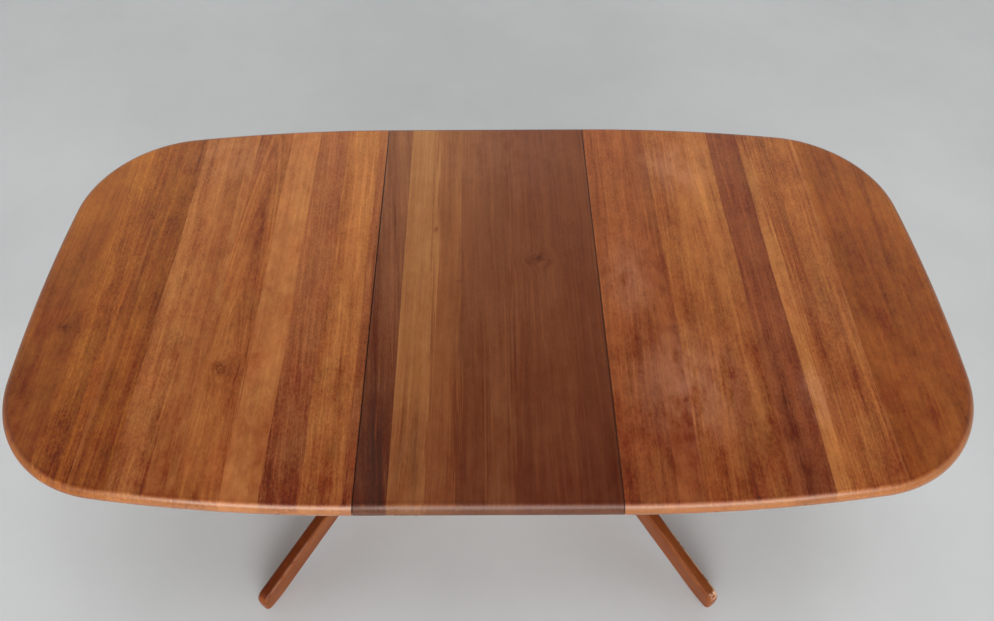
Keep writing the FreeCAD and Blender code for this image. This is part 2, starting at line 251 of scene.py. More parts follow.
def make_wood_figure():
    group, given, result = new_group(
        "wood_figure",
        [("Vector", "Vector"), ("Heart", "Float"), ("Lean", "Float"), ("Seed", "Float"),
         ("Bend", "Float")],
        [(field, "Float") for field in FIGURE_FIELDS],
    )
    x, y, z = split_axes(group, given["Vector"])
    seed = calc(group, "MULTIPLY", given["Seed"], SEED_SHIFT)
    shift = vector_calc(group, "MULTIPLY", join_axes(group, seed, seed, seed), (1.0, 1.7, 0.6))
    board = vector_calc(group, "ADD", given["Vector"], shift)

    sway = centred(group, noise(group, board, SWAY_SCALE))
    wander = centred(group, noise(group, board, WANDER_SCALE))
    across = calc(group, "MULTIPLY_ADD", sway, 0.022, x)
    across = calc(group, "MULTIPLY_ADD", y, given["Lean"], across)
    across = calc(group, "ADD", calc(group, "MULTIPLY_ADD", wander, 0.003, across), given["Bend"])
    grain = vector_calc(group, "ADD", join_axes(group, across, y, z), shift)

    bands = centred(group, noise(group, grain, BAND_SCALE, 3.0, 0.55))
    lines = noise(group, grain, LINE_SCALE, 2.0, 0.5)
    pale_lines = ease(group, lines, 0.56, 0.66)
    dark_lines = ease(group, lines, 0.43, 0.32)
    fibre_noise = noise(group, grain, FIBRE_SCALE, 2.0, 0.6)
    fibres = centred(group, fibre_noise)
    grain_parts = (bands, 0.85), (pale_lines, 0.18), (dark_lines, -0.13), (fibres, 0.45)
    feed(group, result["Grain"], total(group, *grain_parts))

    offset = calc(group, "SUBTRACT", across, given["Heart"])
    depth = calc(group, "ADD", z, HEART_DEPTH)
    square = calc(group, "MULTIPLY_ADD", offset, offset, calc(group, "POWER", depth, 2.0))
    radius = calc(group, "MULTIPLY_ADD", y, TRUNK_TAPER, calc(group, "SQRT", square))
    radius = calc(group, "MULTIPLY_ADD", sway, 0.010, radius)
    ring_place = calc(group, "MULTIPLY_ADD", radius, RINGS_PER_METRE, seed)
    rings = centred(group, line_noise(group, ring_place, 3.0, 0.6))
    strength = ease(group, calc(group, "ABSOLUTE", offset), 0.11, 0.03, 0.6, 2.6)
    feed(group, result["Rings"], calc(group, "MULTIPLY", rings, strength))

    vein_noise = noise(group, grain, VEIN_SCALE, 2.0, 0.55)
    feed(group, result["Veins"], ease(group, vein_noise, 0.60, 0.74))
    speckle = noise(group, board, SPECKLE_SCALE, 3.0, 0.7)
    feed(group, result["Speckle"], centred(group, speckle))
    clouds = centred(group, noise(group, given["Vector"], CLOUD_SCALE, 4.0, 0.6))
    blotches = centred(group, noise(group, board, BLOTCH_SCALE, 3.0, 0.6))
    feed(group, result["Mottle"], total(group, (clouds, 1.0), (blotches, 0.70)))
    warmth = noise(group, board, WARMTH_SCALE, 6.0, 0.72)
    feed(group, result["Warmth"], centred(group, warmth))
    pores = ease(group, noise(group, grain, PORE_SCALE, 1.0), 0.60, 0.72)
    feed(group, result["Pores"], pores)
    feed(group, result["Height"], total(group, (pores, -1.0), (fibre_noise, 0.5)))
    return group


wood_figure = make_wood_figure()
print("wood figure group with", len(wood_figure.nodes), "nodes")

# %% [markdown]
# ## How oil colours wood
# Oil deepens wood unevenly: dark streaks turn red brown and pale ones turn honey, so the green
# and blue of a tone swing further than its red. One group does this for every wood here. Shade
# swings the tone both ways, Warmth turns it from red to gold, and Depth only darkens it, for
# pores, veins and knots.

# %% Oiled tone group
SWING = (0.84, 1.20, 1.36)
GOLD = (0.10, 0.80, 0.90)
DEEP = (0.52, 0.38, 0.28, 1.0)
LOWEST = (0.2, 0.2, 0.2)


def make_oiled_tone():
    group, given, result = new_group(
        "oiled_tone",
        [("Tone", "Color"), ("Shade", "Float"), ("Warmth", "Float"), ("Depth", "Float")],
        [("Color", "Color")],
    )
    factor = (1.0, 1.0, 1.0)
    for label, weights in (("Shade", SWING), ("Warmth", GOLD)):
        level = join_axes(group, given[label], given[label], given[label])
        factor = vector_calc(group, "MULTIPLY_ADD", level, weights, factor)
    factor = vector_calc(group, "MAXIMUM", factor, LOWEST)
    toned = vector_calc(group, "MULTIPLY", given["Tone"], factor)
    deep = blend_colour(group, 1.0, toned, DEEP, "MULTIPLY")
    amount = calc(group, "MINIMUM", given["Depth"], 1.0)
    feed(group, result["Color"], blend_colour(group, amount, toned, deep))
    return group


oiled_tone = make_oiled_tone()
print("oiled tone group with", len(oiled_tone.nodes), "nodes")

# %% [markdown]
# ## The staves of the top
# Each panel is glued up from staves that run from front to back. Their colours differ because
# they come from different boards, so the staves are a list: where one starts, its tone, how
# far its heart line lies from its own middle, how its grain leans, how much it pales towards
# the back, partly its own colour and partly painted light, and how strong its figure is. A
# colour ramp with hard steps turns a place along X into that stave's values.

# %% Stave lists
TONES = {
    "honey": srgb(162, 97, 50),
    "straw": srgb(152, 89, 43),
    "tan": srgb(144, 82, 38),
    "amber": srgb(143, 79, 35),
    "bronze": srgb(137, 74, 24),
    "russet": srgb(135, 74, 38),
    "rust": srgb(131, 68, 31),
    "chestnut": srgb(133, 69, 22),
    "plum": srgb(120, 60, 29),
    "olive": srgb(146, 93, 51),
    "hazel": srgb(126, 73, 38),
    "walnut": srgb(111, 61, 32),
    "umber": srgb(104, 54, 27),
    "sepia": srgb(102, 52, 25),
    "chocolate": srgb(113, 64, 36),
}
STRAIGHT = 0.16
ARCHED = 0.0
LEFT_STAVES = [
    (-0.980, "bronze", STRAIGHT, 0.00, 0.60, 0.60),
    (-0.857, "bronze", -STRAIGHT, 0.01, 0.44, 1.20),
    (-0.798, "chestnut", STRAIGHT, 0.00, 0.20, 1.35),
    (-0.774, "tan", STRAIGHT, 0.00, 0.14, 0.45),
    (-0.769, "bronze", STRAIGHT, 0.00, 0.24, 1.00),
    (-0.702, "straw", -STRAIGHT, -0.01, 0.32, 0.95),
    (-0.629, "tan", STRAIGHT, 0.02, 0.30, 0.70),
    (-0.590, "straw", STRAIGHT, 0.02, 0.36, 0.60),
    (-0.575, "amber", ARCHED, 0.00, 0.15, 0.75),
    (-0.490, "honey", 2 * STRAIGHT, 0.00, 0.26, 0.42),
    (-0.417, "russet", STRAIGHT, 0.05, 0.45, 1.05),
    (-0.346, "straw", -STRAIGHT, 0.01, 0.42, 0.90),
    (-0.268, "russet", STRAIGHT, 0.03, 0.50, 1.00),
]
LEAF_STAVES = [
    (-0.250, "chocolate", -STRAIGHT, 0.06, 0.62, 1.00),
    (-0.184, "olive", STRAIGHT, 0.00, 0.32, 0.50),
    (-0.118, "hazel", STRAIGHT, 0.01, 0.34, 0.55),
    (-0.060, "walnut", -STRAIGHT, 0.01, 0.48, 0.55),
    (0.000, "walnut", -STRAIGHT, 0.01, 0.24, 0.55),
    (0.052, "umber", STRAIGHT, -0.01, 0.42, 0.65),
    (0.110, "umber", -STRAIGHT, 0.02, 0.34, 0.65),
    (0.178, "sepia", STRAIGHT, 0.00, 0.46, 0.55),
]
RIGHT_STAVES = [
    (0.240, "rust", STRAIGHT, 0.00, 0.42, 0.90),
    (0.342, "rust", -STRAIGHT, 0.01, 0.23, 0.70),
    (0.396, "amber", STRAIGHT, -0.01, 0.32, 0.85),
    (0.484, "tan", -STRAIGHT, 0.01, 0.56, 0.85),
    (0.556, "plum", STRAIGHT, 0.00, 0.18, 1.05),
    (0.632, "straw", -STRAIGHT, 0.00, -0.10, 1.00),
    (0.662, "amber", -STRAIGHT, 0.00, 0.16, 1.10),
    (0.700, "amber", STRAIGHT, 0.01, 0.22, 1.10),
    (0.765, "straw", STRAIGHT, 0.01, 0.20, 0.45),
    (0.770, "chestnut", -STRAIGHT, 0.02, 0.22, 0.75),
    (0.850, "chestnut", STRAIGHT, -0.01, 0.28, 0.75),
]
HEART_SPAN = 3.0
LEAN_SPAN = 0.4
HALF_DEPTH = 0.53
SEED_STEP = 0.381


# %% Stave lookup
def stave_ramp(tree, fraction, steps):
    """A ramp with hard steps: places from 0 to 1 and their four values."""
    ramp = add_node(tree, "ValToRGB")
    ramp.color_ramp.interpolation = "CONSTANT"
    elements = ramp.color_ramp.elements
    for index, (place, values) in enumerate(steps):
        element = elements[index] if index < 2 else elements.new(place)
        element.position = place
        element.color = values
    feed(tree, ramp.inputs[0], fraction)
    return ramp.outputs


def stave_steps(staves, end_x):
    """The tone and the figure of each stave, as ramp steps."""
    start_x = staves[0][0]
    span = end_x - start_x
    stops = [stave[0] for stave in staves[1:]] + [end_x]
    tones = []
    figures = []
    for index, ((begin, tone, heart, lean, drift, contrast), stop) in enumerate(zip(staves, stops)):
        seed = (index * SEED_STEP + abs(start_x)) % 1.0
        heart_x = (begin + stop) / 2 + heart
        place = (begin - start_x) / span
        tones.append((place, TONES[tone][:3] + (seed,)))
        heart_share = heart_x / HEART_SPAN + 0.5
        lean_share = lean / LEAN_SPAN + 0.5
        figures.append((place, (heart_share, lean_share, drift + 0.5, contrast)))
    return tones, figures


def spot(tree, place, x, y, half_x, half_y):
    """A soft oval mask about a point of the top, and the distance from that point."""
    away = vector_calc(tree, "SUBTRACT", place, (x, y, 0.0))
    rounded = vector_calc(tree, "MULTIPLY", away, (1.0, half_x / half_y, 0.0))
    distance = vector_calc(tree, "LENGTH", rounded)
    return ease(tree, distance, half_x, 0.0), distance


# %% [markdown]
# ## Knots
# A knot is the foot of a branch. The lines of the board part round it like water round a stone,
# and its own rings are small, dark and broken. They are drawn from the distance to the knot's
# middle. Without the noise that is added to that distance, they would look like a target.

# %% Knots
KNOT_FLOW = 2.6
KNOT_WOBBLE = 3.6
KNOT_RINGS = 9.0
WOBBLE_SCALE = (75.0, 45.0, 75.0)


def knot_fields(tree, place, knots):
    """How far each knot pushes the lines aside, and the dark broken rings in its middle."""
    bend = 0.0
    dark = 0.0
    wobble = centred(tree, noise(tree, place, WOBBLE_SCALE, 3.0, 0.6))
    for x, y, size, length in knots:
        around, distance = spot(tree, place, x, y, KNOT_FLOW * size, KNOT_FLOW * length)
        aside = calc(tree, "SUBTRACT", split_axes(tree, place)[0], x)
        beside = calc(tree, "ADD", calc(tree, "ABSOLUTE", aside), 0.5 * size)
        side = calc(tree, "DIVIDE", aside, beside)
        bend = calc(tree, "MULTIPLY_ADD", calc(tree, "MULTIPLY", side, around), -size, bend)
        broken = calc(tree, "MULTIPLY_ADD", wobble, KNOT_WOBBLE * size, distance)
        reach = calc(tree, "DIVIDE", broken, size)
        rings = calc(tree, "SINE", calc(tree, "MULTIPLY", reach, KNOT_RINGS))
        core = ease(tree, reach, 1.2, 0.3)
        ringed = calc(tree, "MULTIPLY", core, calc(tree, "MULTIPLY_ADD", rings, 0.42, 0.56))
        shadow = calc(tree, "MULTIPLY", ease(tree, reach, 2.2, 0.4), 0.22)
        dark = calc(tree, "MAXIMUM", dark, calc(tree, "ADD", ringed, shadow))
    return bend, dark


# %% [markdown]
# ## The finish of the top
# On the real table the oil has worn thin on the rounded edge of the halves, which is glossier,
# though less so at the left end. That edge is painted paler, partly for the worn oil and partly
# as painted light; the leaf's edge is painted dark, as painted shade. The lower part of every
# rounded edge, and each face that looks sideways or down, is painted darker, as shade. A dark
# line is painted where the flat ends, mostly along the front. All this follows the slope of the
# surface, so the Geometry node's normal finds it, and a coat gives the gloss. A dark line is
# painted along both seams. Soft ovals make the pale hazes where wet things stood and the darker
# stains where oil soaked in. The underside was never oiled and stays dull.

# %% Hazes and stains
def patches(tree, place, ovals):
    """The strongest of some soft ovals, each with its middle, its half sizes and its strength."""
    result = 0.0
    for x, y, half_x, half_y, strength in ovals:
        mask, _ = spot(tree, place, x, y, half_x, half_y)
        result = calc(tree, "MAXIMUM", result, calc(tree, "MULTIPLY", mask, strength))
    return result


# %% What the slope shows
RIM_SLOPE = (0.97, 0.78)
SHADED_LOW_RIM_SLOPE = (0.40, 0.0)
UNDER_SLOPE = (-0.60, -0.95)
EDGE_LINE_BEGINS = (0.9995, 0.997)
EDGE_LINE_ENDS = (0.93, 0.975)
EDGE_LINE_FRONT = (0.15, -0.40)
LEAST_EDGE_LINE = 0.10
LEAST_WEAR_AND_LIGHT = 0.10


def slope_masks(tree, x, y, look):
    """Masks for the rim, its worn and painted-lit part, its lower part for painted shade, the
    underside and the dark line.
    """
    slope = split_axes(tree, add_node(tree, "NewGeometry").outputs["Normal"])[2]
    rim = ease(tree, slope, *RIM_SLOPE)
    # The rim's painted wear and light (paler on the halves, dark on the leaf) fades out towards the
    # left end.
    wear_and_light = ease(tree, x, look["dull_to"], look["worn_and_lit_from"], LEAST_WEAR_AND_LIGHT, 1.0)
    worn = calc(tree, "MULTIPLY", rim, wear_and_light)
    # The lower part of the rounding, and each face that looks sideways or down, gets painted shade.
    shaded_low_rim = ease(tree, slope, *SHADED_LOW_RIM_SLOPE)
    under = ease(tree, slope, *UNDER_SLOPE)
    # A dark line painted where the flat turns into the rounding, mostly along the front.
    edge_line = calc(tree, "MULTIPLY", ease(tree, slope, *EDGE_LINE_BEGINS), ease(tree, slope, *EDGE_LINE_ENDS))
    edge_line = calc(tree, "MULTIPLY", edge_line, ease(tree, y, *EDGE_LINE_FRONT, LEAST_EDGE_LINE, 1.0))
    return rim, worn, shaded_low_rim, under, edge_line


# %% The stave under a place
STREAK_SCALE = (260.0, 3.0, 260.0)
CRISP_FEATHER = 0.003
FEATHER_GROWTH = 0.06
TOP_LEVEL = 0.725


def stave_figure(tree, place, x, staves, end_x, bend, look):
    """The tone, the drift and the contrast of a stave, and its wood figure."""
    start_x = staves[0][0]
    crisp_to = look["crisp_to"]
    streaks = centred(tree, noise(tree, place, STREAK_SCALE, 3.0, 0.6))
    feather = ease(tree, x, crisp_to, crisp_to + FEATHER_GROWTH, CRISP_FEATHER, look["feather"])
    soft_x = calc(tree, "MULTIPLY_ADD", streaks, feather, calc(tree, "SUBTRACT", x, start_x))
    fraction = calc(tree, "DIVIDE", soft_x, end_x - start_x, clamp=True)
    tones, figures = stave_steps(staves, end_x)
    tone, seed = stave_ramp(tree, fraction, tones)
    figure_colour, contrast = stave_ramp(tree, fraction, figures)
    packed = add_node(tree, "SeparateColor")
    feed(tree, packed.inputs[0], figure_colour)
    heart = calc(tree, "MULTIPLY", centred(tree, packed.outputs[0]), HEART_SPAN)
    lean = calc(tree, "MULTIPLY", centred(tree, packed.outputs[1]), LEAN_SPAN)
    drift = centred(tree, packed.outputs[2])
    level = vector_calc(tree, "SUBTRACT", place, (0.0, 0.0, TOP_LEVEL))
    figure = place_group(
        tree, wood_figure, Vector=level, Heart=heart, Lean=lean, Seed=seed, Bend=bend,
    )
    return tone, drift, contrast, figure


# %% Top material
HEARTWOOD = srgb(46, 34, 26)
HAZE = srgb(204, 154, 130)
BARE_TEAK = srgb(150, 104, 72)
SEAM_DARK_LINE = srgb(50, 22, 9)
DARK_GRAIN = (0.14, -0.10)
HAZE_GAPS = (-0.22, 0.10)
DIRT_REACH = (0.0020, 0.0008)
RIM_WEAR_AND_LIGHT = 0.50
FLAT_GLOSS = 0.32
FLAT_ROUGHNESS = 0.34
RIM_POLISH = 0.20
PORE_HEIGHT = 0.00004
SEAM_X = (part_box("centre_leaf")[1].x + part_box("right_top_half")[0].x) / 2


def top_material(name, staves, end_x, knots, hazes, stains, look):
    material, tree, shader, place = new_material(name)
    x, y, _ = split_axes(tree, place)
    bend, knot = knot_fields(tree, place, knots)
    tone, drift, contrast, figure = stave_figure(tree, place, x, staves, end_x, bend, look)
    rim, worn, shaded_low_rim, under, edge_line = slope_masks(tree, x, y, look)
    inner = calc(tree, "SUBTRACT", 1.0, rim)
    haze = patches(tree, place, hazes)
    haze = calc(tree, "MULTIPLY", haze, ease(tree, figure["Mottle"], *HAZE_GAPS))
    stain = patches(tree, place, stains)
    streaked = ease(tree, figure["Grain"], *DARK_GRAIN, 0.0, look["heartwood"])
    # A dark line is painted along both seams.
    from_middle = calc(tree, "ABSOLUTE", x)
    from_seam = calc(tree, "ABSOLUTE", calc(tree, "SUBTRACT", from_middle, SEAM_X))
    seam = ease(tree, from_seam, *DIRT_REACH)

    back = calc(tree, "MULTIPLY", calc(tree, "DIVIDE", y, HALF_DEPTH), inner)
    vivid = calc(tree, "MULTIPLY_ADD", back, 0.20, contrast)
    lively = total(
        tree, (figure["Grain"], 1.6), (figure["Rings"], 0.75), (figure["Speckle"], look["speckle"]),
    )
    # (back, drift) paints each stave paler towards the back: partly its own colour, partly painted
    # light.
    shade = total(
        tree, (lively, vivid), (figure["Mottle"], look["mottle"]), (back, drift),
        (under, -0.10), (stain, -1.0),
    )
    veins = calc(tree, "MULTIPLY", figure["Veins"], contrast)
    # Depth paints shade on the lower rounding and on faces that look sideways or down, and the dark
    # line where the flat ends.
    depth = total(
        tree, (figure["Pores"], 0.16), (veins, 0.10), (knot, 0.85), (edge_line, 0.30), (shaded_low_rim, 0.50),
    )
    warmth = calc(tree, "MULTIPLY", figure["Warmth"], look["warmth"])
    oiled = place_group(tree, oiled_tone, Tone=tone, Shade=shade, Warmth=warmth, Depth=depth)
    colour = oiled["Color"]
    # The rim blend paints the halves' rounded edge paler, partly worn oil and partly painted light,
    # and the leaf's edge dark, as painted shade.
    for amount, weight, over in (
        (stain, streaked, HEARTWOOD), (haze, 1.0, HAZE), (worn, RIM_WEAR_AND_LIGHT, look["rim_tone"]),
        (under, 0.45, BARE_TEAK), (seam, 0.85, SEAM_DARK_LINE),
    ):
        colour = blend_colour(tree, calc(tree, "MULTIPLY", amount, weight), colour, over)
    feed(tree, shader.inputs["Base Color"], colour)

    shader.inputs["Specular IOR Level"].default_value = FLAT_GLOSS
    shader.inputs["Coat Roughness"].default_value = RIM_POLISH
    feed(tree, shader.inputs["Coat Weight"], calc(tree, "MULTIPLY", worn, look["rim_coat"]))
    dull = total(
        tree, (figure["Pores"], 0.10), (haze, 0.35), (rim, -0.04), (under, 0.25),
        (figure["Mottle"], 0.20),
    )
    feed(tree, shader.inputs["Roughness"], calc(tree, "ADD", FLAT_ROUGHNESS, dull))
    roughen(tree, shader, calc(tree, "MULTIPLY", figure["Height"], inner), PORE_HEIGHT)
    print(name, "with", len(staves), "staves and", len(tree.nodes), "nodes")
    return material


# %% Three panels of staves
# rim_tone: the halves' edge is painted paler for worn oil and painted light; the leaf's edge is
# painted dark, as painted shade.
HALF_LOOK = {
    "speckle": 1.35, "mottle": 1.05, "warmth": 1.0, "heartwood": 0.0,
    "feather": 0.02, "crisp_to": -1.1,
    "rim_tone": srgb(148, 94, 44), "rim_coat": 0.70, "dull_to": -2.0, "worn_and_lit_from": -1.5,
}
LEFT_LOOK = {**HALF_LOOK, "rim_coat": 1.0, "dull_to": -0.92, "worn_and_lit_from": -0.50}
LEAF_LOOK = {
    "speckle": 0.6, "mottle": 0.50, "warmth": 0.45, "heartwood": 3.2,
    "feather": 0.11, "crisp_to": -0.165,
    "rim_tone": srgb(58, 34, 22), "rim_coat": 0.28, "dull_to": -2.0, "worn_and_lit_from": -1.5,
}
teak_left = top_material(
    "teak_left_half",
    LEFT_STAVES,
    -0.240,
    [(-0.532, -0.215, 0.021, 0.019), (-0.878, -0.112, 0.022, 0.013)],
    [(-0.62, 0.42, 0.20, 0.14, 0.08)],
    [(-0.93, 0.02, 0.09, 0.28, 0.16), (-0.255, -0.32, 0.03, 0.30, 0.16)],
    LEFT_LOOK,
)
teak_leaf = top_material(
    "teak_leaf",
    LEAF_STAVES,
    0.250,
    [(0.122, 0.072, 0.034, 0.016), (-0.116, 0.170, 0.005, 0.009), (-0.060, 0.010, 0.006, 0.006)],
    [(0.05, 0.45, 0.30, 0.25, 0.05)],
    [(-0.215, -0.40, 0.05, 0.25, 0.14), (-0.15, -0.42, 0.04, 0.18, 0.12)],
    LEAF_LOOK,
)
teak_right = top_material(
    "teak_right_half",
    RIGHT_STAVES,
    0.980,
    [(0.392, -0.120, 0.008, 0.010)],
    [(0.46, 0.38, 0.13, 0.15, 0.18), (0.31, 0.02, 0.08, 0.16, 0.12), (0.40, -0.26, 0.16, 0.20, 0.15),
     (0.70, -0.08, 0.11, 0.14, 0.04), (0.65, -0.29, 0.05, 0.10, 0.16)],
    [(0.79, 0.03, 0.17, 0.24, 0.24), (0.74, -0.06, 0.03, 0.09, 0.20)],
    HALF_LOOK,
)

# %% [markdown]
# ## The halves of the top
# In plan a half is five arcs that run into each other: a long shallow side, a corner, a bowed
# end and the same again. Spinning a single vertex about each arc's centre draws that outline.
# The face is then extruded to its thickness and its rim is rounded by two bevels.

# %% Finish a piece
SMOOTH_ANGLE = math.radians(32)


def finish_piece(name, bm, body, slot, material, *nodes):
    """Turn a bmesh into an object at the origin that rides on a body."""
    bmesh.ops.recalc_face_normals(bm, faces=bm.faces)
    mesh = bpy.data.meshes.new(name)
    bm.to_mesh(mesh)
    bm.free()
    mesh.polygons.foreach_set("use_smooth", [True] * len(mesh.polygons))
    mesh.set_sharp_from_angle(angle=SMOOTH_ANGLE)
    mesh.materials.append(material)
    piece = bpy.data.objects.new(name, mesh)
    bpy.context.scene.collection.objects.link(piece)
    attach(piece, body)
    if nodes:
        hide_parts(*nodes)
    print(name, len(mesh.polygons), "faces on", body)
    return piece


# %% Round the rim of a panel
SIDE_RADIUS = 3.400
END_RADIUS = 3.800
CORNER_RADIUS = 0.274
TOP_ROUND = 0.0175
UNDER_ROUND = 0.0080
SEAM_EASE = 0.0007
SHADING_BAND = 0.004
NEAR = 1e-5
HAIR_UNDER = 0.99998


def round_rim(bm, low_z, high_z, is_rim):
    for height, radius, segments in ((high_z, TOP_ROUND, 10), (low_z, UNDER_ROUND, 5)):
        rim = []
        for edge in bm.edges:
            level = all(abs(vert.co.z - height) < NEAR for vert in edge.verts)
            if level and is_rim(edge):
                rim.append(edge)
        bmesh.ops.bevel(
            bm, geom=rim, offset=radius, offset_type="OFFSET", segments=segments,
            profile=0.5, affect="EDGES", material=-1, clamp_overlap=False,
        )


def ease_seams(bm, seams):
    """Take the sharp corner off the edges round each seam face."""
    edges = []
    for edge in bm.edges:
        for seam_x in seams:
            if all(abs(vert.co.x - seam_x) < NEAR for vert in edge.verts):
                edges.append(edge)
    bmesh.ops.bevel(
        bm, geom=edges, offset=SEAM_EASE, offset_type="OFFSET", segments=2,
        profile=0.5, affect="EDGES", material=-1,
    )


def steady_flats(bm):
    """A narrow band inside each large flat keeps its shading level right up to the rounding."""
    flats = [face for face in bm.faces if abs(face.normal.z) > 0.999 and face.calc_area() > 0.05]
    bmesh.ops.inset_individual(bm, faces=flats, thickness=SHADING_BAND)


# %% Outline of a half
def corner_centre(side_centre, end_centre):
    """Where a circle touches both the side arc and the end arc from inside."""
    side_reach = SIDE_RADIUS - CORNER_RADIUS
    end_reach = END_RADIUS - CORNER_RADIUS
    between = end_centre - side_centre
    along = (side_reach ** 2 - end_reach ** 2 + between.length_squared) / (2 * between.length)
    across = math.sqrt(side_reach ** 2 - along ** 2)
    axis = between.normalized()
    normal = Vector((-axis.y, axis.x, 0.0))
    places = [side_centre + axis * along + normal * across * sign for sign in (-1, 1)]
    return max(places, key=lambda place: place.x)


def turn_between(centre, start, end):
    """The signed angle about Z from one point to another, seen from a centre."""
    first = start - centre
    second = end - centre
    return math.atan2(first.x * second.y - first.y * second.x, first.dot(second))


def flipped(place):
    return Vector((place.x, -place.y, 0.0))


def outline_arcs(seam, end, half_width):
    """Centre, start, stop and steps of the arcs from the back of the seam to its front."""
    side_centre = Vector((seam, half_width - SIDE_RADIUS, 0.0))
    end_centre = Vector((end - END_RADIUS, 0.0, 0.0))
    corner = corner_centre(side_centre, end_centre)
    seam_end = Vector((seam, half_width, 0.0))
    side_end = side_centre + (corner - side_centre).normalized() * SIDE_RADIUS
    end_end = end_centre + (corner - end_centre).normalized() * END_RADIUS
    return [
        (side_centre, seam_end, side_end, 20),
        (corner, side_end, end_end, 36),
        (end_centre, end_end, flipped(end_end), 28),
        (flipped(corner), flipped(end_end), flipped(side_end), 36),
        (flipped(side_centre), flipped(side_end), flipped(seam_end), 20),
    ]


# %% Model a half
def half_top(name, side, body, material):
    """side is 1 for the right half and -1 for the left, which is its mirror image."""
    low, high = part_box(name)
    seam, end = sorted((abs(low.x), abs(high.x)))
    arcs = outline_arcs(seam, end, high.y)
    lift = Vector((0.0, 0.0, low.z))
    bm = bmesh.new()
    first = bm.verts.new(arcs[0][1] + lift)
    last = first
    for centre, start, stop, steps in arcs:
        spun = bmesh.ops.spin(
            bm, geom=[last], cent=centre + lift, axis=(0, 0, 1),
            angle=turn_between(centre, start, stop), steps=steps,
        )
        last = next(item for item in spun["geom_last"] if isinstance(item, bmesh.types.BMVert))
    bm.edges.new((last, first))
    bmesh.ops.contextual_create(bm, geom=bm.edges)
    raised = bmesh.ops.extrude_face_region(bm, geom=bm.faces[:])
    verts = [item for item in raised["geom"] if isinstance(item, bmesh.types.BMVert)]
    bmesh.ops.translate(bm, verts=verts, vec=(0, 0, high.z - low.z))
    bmesh.ops.recalc_face_normals(bm, faces=bm.faces)
    round_rim(bm, low.z, high.z, lambda edge: any(vert.co.x > seam + NEAR for vert in edge.verts))
    ease_seams(bm, [seam])
    bm.normal_update()
    steady_flats(bm)
    bmesh.ops.scale(bm, verts=bm.verts, vec=(side * HAIR_UNDER, HAIR_UNDER, 1.0))
    return finish_piece(f"{name}_panel", bm, body, "teak_top", material, name)


half_top("left_top_half", -1, "left_half", teak_left)
half_top("right_top_half", 1, "right_half", teak_right)

# %% [markdown]
# ## The leaf
# The leaf is a plain board whose front and back edges carry the same rounding as the halves,
# so it starts as a cube and needs only the two bevels.


# %% Model the leaf
def leaf_top(name, body, material):
    low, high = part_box(name)
    bm = bmesh.new()
    bmesh.ops.create_cube(bm, size=1.0)
    bmesh.ops.scale(bm, verts=bm.verts, vec=high - low)
    bmesh.ops.translate(bm, verts=bm.verts, vec=(low + high) / 2)
    round_rim(bm, low.z, high.z, lambda edge: abs(edge.verts[0].co.y - edge.verts[1].co.y) < NEAR)
    ease_seams(bm, [low.x, high.x])
    bm.normal_update()
    steady_flats(bm)
    return finish_piece(f"{name}_panel", bm, body, "teak_top", material, name)


leaf_top("centre_leaf", "leaf", teak_leaf)

# %% [markdown]
# ## The wood of the base
# The columns, the stretcher and the feet are solid teak, and the slides are beech. Each piece
# is sawn with the grain along its length, so one figure serves them all once the coordinates
# are turned until the grain runs along Y. The upper side of the feet is painted dark, as painted
# shade, and a pale line along an outer edge by the toe is partly chipped wear and partly a
# painted highlight. Beech shows short dark flecks instead.

# %% Base wood
TOE_REACH = (0.50, 0.60)
PALE_CHIP_GLINT = srgb(214, 176, 146)
BASE_GLOSS = 0.15
FIBRE_HEIGHT = 0.00006


def paint_top_shade_and_glint(tree, place, upper_shade, chip_glint):
    """Painted shade on faces that look up, and a pale line along the outer edge by the toe, partly
    chipped wear and partly a painted highlight.
    """
    out, _, slope = split_axes(tree, add_node(tree, "NewGeometry").outputs["Normal"])
    # Painted shade on the upper faces, which lie in the shadow of the top.
    shaded_top = calc(tree, "MULTIPLY", ease(tree, slope, 0.50, 0.90), upper_shade)
    # A pale line along the outer edge by the toe: partly chipped wear, partly a painted highlight.
    edge = calc(tree, "MULTIPLY", ease(tree, slope, 0.25, 0.50), ease(tree, slope, 0.97, 0.86))
    edge = calc(tree, "MULTIPLY", edge, ease(tree, out, 0.05, 0.25))
    flat = vector_calc(tree, "MULTIPLY", place, (1.0, 1.0, 0.0))
    near_toe = ease(tree, vector_calc(tree, "LENGTH", flat), *TOE_REACH)
    patchy = ease(tree, noise(tree, place, (50.0, 50.0, 50.0), 3.0, 0.6), 0.38, 0.52)
    chips_and_glint = calc(tree, "MULTIPLY", calc(tree, "MULTIPLY", edge, near_toe), patchy)
    return shaded_top, calc(tree, "MULTIPLY", chips_and_glint, chip_glint)


